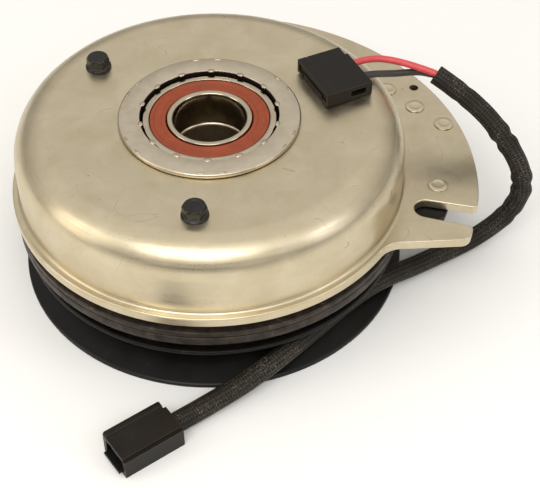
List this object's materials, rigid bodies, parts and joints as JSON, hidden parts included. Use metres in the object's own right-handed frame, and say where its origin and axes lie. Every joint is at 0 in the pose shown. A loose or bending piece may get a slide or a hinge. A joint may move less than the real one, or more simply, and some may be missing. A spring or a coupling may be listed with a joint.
{
  "type": "electromagnetic clutch",
  "caption": "Electromagnetic belt clutch with a coil housing, an anti-rotation tab, a V-belt pulley, an armature on leaf springs and a sleeved two-wire lead with a connector.",
  "frame": {"origin": "on the spin axis, in the plane of the pulley's lower face", "axes": "+Z along the spin axis towards the coil housing, +X towards the side of the anti-rotation tab"},
  "size_m": [0.2107, 0.2217, 0.0751],
  "materials": {
    "zinc_plated_steel": "zinc-plated pressed steel",
    "machined_steel": "fine turned steel",
    "bearing_steel": "ground bearing steel",
    "bare_iron": "bare pressed iron",
    "worn_iron": "brown-black iron with worn edges",
    "black_steel": "black coated steel",
    "spring_steel": "blued spring steel",
    "copper": "enamelled copper wire",
    "brass": "stamped brass",
    "seal_rubber": "moulded terracotta rubber",
    "black_plastic": "moulded black plastic",
    "tan_plastic": "moulded tan plastic",
    "epoxy": "poured epoxy",
    "friction_lining": "bonded friction lining",
    "red_insulation": "red wire insulation",
    "black_insulation": "black wire insulation",
    "woven_sleeve": "woven black sleeving"
  },
  "bodies": {
    "field": {"field_housing": "zinc_plated_steel", "tab_backing_plate": "black_steel", "tab_rivet_1": "zinc_plated_steel", "tab_rivet_2": "zinc_plated_steel", "tab_rivet_3": "zinc_plated_steel", "tab_rivet_4": "zinc_plated_steel", "bearing_retainer": "machined_steel", "field_bearing_outer_ring": "bearing_steel", "field_bearing_seal_top": "seal_rubber", "field_bearing_seal_bottom": "seal_rubber", "coil_shell": "bare_iron", "coil_bobbin": "tan_plastic", "coil_winding": "copper", "coil_potting": "epoxy", "field_screw_1": "black_steel", "field_screw_2": "black_steel", "coil_header": "black_plastic", "header_blade_1": "brass", "header_blade_2": "brass", "upper_plug_housing": "black_plastic", "upper_plug_terminal_1": "brass", "upper_plug_terminal_2": "brass", "red_wire": "red_insulation", "black_wire": "black_insulation", "cable_sleeve": "woven_sleeve", "lower_connector_housing": "black_plastic", "lower_connector_lock": "black_plastic", "lower_connector_terminal_1": "brass", "lower_connector_terminal_2": "brass"},
    "rotor": {"rotor_hub": "machined_steel", "rotor_disc": "worn_iron", "friction_ring": "friction_lining", "hub_snap_ring": "spring_steel", "field_bearing_inner_ring": "bearing_steel", "pulley_bearing_inner_ring": "bearing_steel"},
    "field_bearing_ball_row": {"field_bearing_balls": "bearing_steel"},
    "pulley": {"pulley_hub": "machined_steel", "pulley_upper_flange": "black_steel", "pulley_lower_flange": "black_steel", "pulley_rivet_1": "spring_steel", "pulley_rivet_2": "spring_steel", "pulley_rivet_3": "spring_steel", "spring_post_1": "spring_steel", "spring_post_2": "spring_steel", "spring_post_3": "spring_steel", "leaf_spring_1": "spring_steel", "leaf_spring_2": "spring_steel", "leaf_spring_3": "spring_steel", "pulley_bearing_outer_ring": "bearing_steel", "pulley_bearing_seal_top": "seal_rubber", "pulley_bearing_seal_bottom": "seal_rubber", "pulley_snap_ring": "spring_steel"},
    "pulley_bearing_ball_row": {"pulley_bearing_balls": "bearing_steel"},
    "armature": {"armature_plate": "worn_iron", "armature_rivet_1": "spring_steel", "armature_rivet_2": "spring_steel", "armature_rivet_3": "spring_steel"}
  },
  "joints": [
    {"name": "rotor_spin", "type": "hinge", "parent": "field", "child": "rotor", "pos_m": [0, 0, 0], "axis": [0, 0, 1], "continuous": true},
    {"name": "field_bearing_roll", "type": "hinge", "parent": "field", "child": "field_bearing_ball_row", "pos_m": [0, 0, 0], "axis": [0, 0, 1], "continuous": true},
    {"name": "pulley_spin", "type": "hinge", "parent": "rotor", "child": "pulley", "pos_m": [0, 0, 0], "axis": [0, 0, 1], "continuous": true},
    {"name": "pulley_bearing_roll", "type": "hinge", "parent": "rotor", "child": "pulley_bearing_ball_row", "pos_m": [0, 0, 0], "axis": [0, 0, 1], "continuous": true},
    {"name": "armature_pull_in", "type": "slide", "parent": "pulley", "child": "armature", "axis": [0, 0, 1], "range_m": [0, 0.0003], "stiffness_N_per_m": 20000, "deforming": ["leaf_spring_1", "leaf_spring_2", "leaf_spring_3"]}
  ],
  "couplings": [
    {"joint": "field_bearing_roll", "follows": "rotor_spin", "ratio": 0.41},
    {"joint": "pulley_bearing_roll", "follows": "pulley_spin", "ratio": 0.57}
  ]
}
